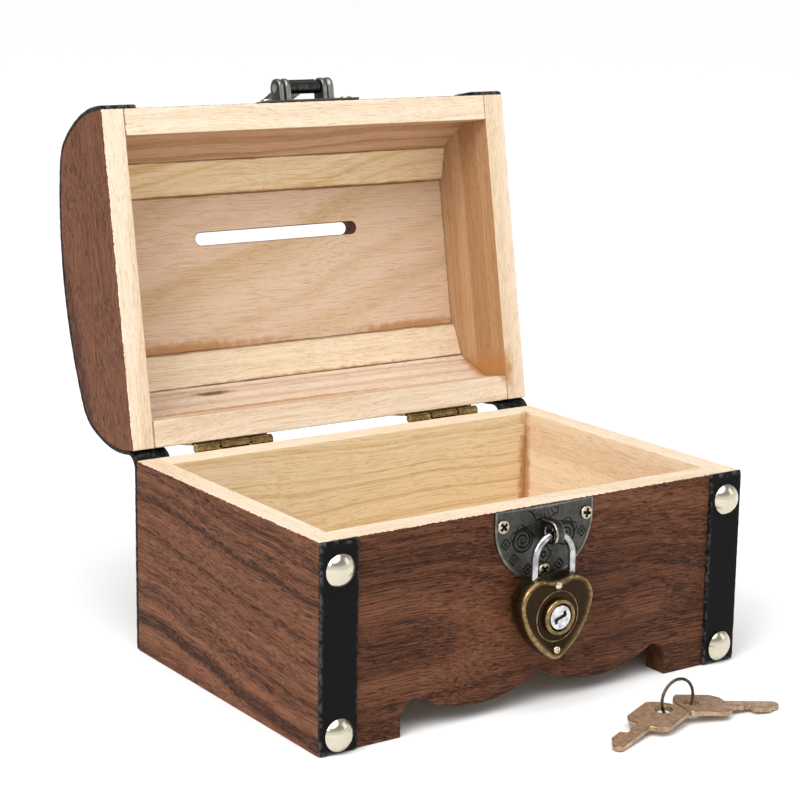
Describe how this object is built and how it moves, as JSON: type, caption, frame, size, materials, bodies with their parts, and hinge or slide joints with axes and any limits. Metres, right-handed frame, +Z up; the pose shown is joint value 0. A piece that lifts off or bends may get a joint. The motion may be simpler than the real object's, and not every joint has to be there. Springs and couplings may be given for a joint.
{
  "type": "wooden money box",
  "caption": "Small wooden treasure-chest money box with an arched hinged lid, coin slot, hasp latch, heart padlock and keys.",
  "frame": {"origin": "middle of the box's rectangular footprint, on the surface that its feet stand on", "axes": "+X to the right along the front, +Y from the front to the hinged back, +Z up"},
  "size_m": [0.15, 0.1946, 0.1708],
  "materials": {
    "stained_walnut": "reddish-brown stain, open dark pores, pale unstained inside",
    "plain_wood": "unfinished pale wood",
    "black_leather": "matte, worn grey edges",
    "nickel_dome": "polished nickel",
    "gunmetal_plate": "dark gunmetal, relief rubbed bright",
    "brass_screw": "dull",
    "antique_brass_hinge": "aged",
    "shackle_steel": "polished steel",
    "antique_bronze": "dark antique bronze, rubbed bright on raised edges",
    "plug_chrome": "polished"
  },
  "bodies": {
    "base": {"left_side_panel": "stained_walnut", "right_side_panel": "stained_walnut", "front_panel": "stained_walnut", "back_panel": "stained_walnut", "bottom_board": "plain_wood", "front_strap_left": "black_leather", "front_strap_right": "black_leather", "back_strap_left": "black_leather", "back_strap_right": "black_leather", "strap_flex_left": "black_leather", "strap_flex_right": "black_leather", "base_studs": "nickel_dome", "latch_base_plate": "gunmetal_plate", "latch_staple": "gunmetal_plate", "base_plate_screws": "brass_screw", "hinge_left_base_leaf": "antique_brass_hinge", "hinge_right_base_leaf": "antique_brass_hinge", "hinge_base_screws": "antique_brass_hinge", "hinge_left_pin": "antique_brass_hinge", "hinge_right_pin": "antique_brass_hinge"},
    "lid": {"lid_left_end": "stained_walnut", "lid_right_end": "stained_walnut", "lid_front_rail": "stained_walnut", "lid_back_rail": "stained_walnut", "lid_front_shoulder_slat": "stained_walnut", "lid_back_shoulder_slat": "stained_walnut", "lid_top_slat": "stained_walnut", "lid_strap_left": "black_leather", "lid_strap_right": "black_leather", "lid_studs": "nickel_dome", "hinge_left_lid_leaf": "antique_brass_hinge", "hinge_right_lid_leaf": "antique_brass_hinge", "hinge_lid_screws": "antique_brass_hinge", "latch_lid_plate": "gunmetal_plate", "lid_plate_screws": "brass_screw", "hasp_pin": "gunmetal_plate"},
    "hasp": {"hasp": "gunmetal_plate"},
    "shackle": {"padlock_shackle": "shackle_steel"},
    "padlock": {"padlock_front_shell": "antique_bronze", "padlock_back_shell": "antique_bronze", "padlock_collar": "antique_bronze", "padlock_rivets": "antique_bronze", "bolt_spring": "shackle_steel"},
    "plug": {"padlock_plug": "plug_chrome"},
    "bolt": {"padlock_bolt": "shackle_steel"},
    "key_ring": {"key_ring": "antique_bronze"},
    "key_a": {"key_a": "antique_bronze"},
    "key_b": {"key_b": "antique_bronze"}
  },
  "joints": [
    {"name": "lid_hinge", "type": "hinge", "parent": "base", "child": "lid", "pos_m": [0, 0.0534, 0.0606], "axis": [-1, 0, 0], "range_deg": [-100, 0], "deforming": ["strap_flex_left", "strap_flex_right"]},
    {"name": "hasp_swing", "type": "hinge", "parent": "lid", "child": "hasp", "pos_m": [0, 0.07829, 0.16781], "axis": [-1, 0, 0], "range_deg": [-197, 0]},
    {"name": "padlock_swing", "type": "hinge", "parent": "base", "child": "shackle", "pos_m": [0, -0.0566, 0.05215], "axis": [-1, 0, 0], "range_deg": [0, 70]},
    {"name": "shackle_release", "type": "slide", "parent": "shackle", "child": "padlock", "axis": [0, 0, -1], "range_m": [0, 0.0068]},
    {"name": "plug_turn", "type": "hinge", "parent": "padlock", "child": "plug", "pos_m": [0, -0.0566, 0.02885], "axis": [0, -1, 0], "range_deg": [-90, 0]},
    {"name": "bolt_slide", "type": "slide", "parent": "padlock", "child": "bolt", "axis": [-1, 0, 0], "range_m": [-0.0008, 0]},
    {"name": "keys_lift", "type": "slide", "parent": "base", "child": "key_ring", "axis": [0, 0, 1], "range_m": [0, 0.08]},
    {"name": "key_a_fan", "type": "hinge", "parent": "key_ring", "child": "key_a", "pos_m": [0.021, -0.082, 0.00331], "axis": [-0.0829, -0.0302, 0.9961], "range_deg": [-20, 0]},
    {"name": "key_b_fan", "type": "hinge", "parent": "key_ring", "child": "key_b", "pos_m": [0.031, -0.082, 0.00331], "axis": [-0.0829, 0.0302, -0.9961], "range_deg": [-20, 0]}
  ],
  "couplings": [
    {"joint": "bolt_slide", "follows": "plug_turn", "m_per_rad": 0.0005093}
  ]
}
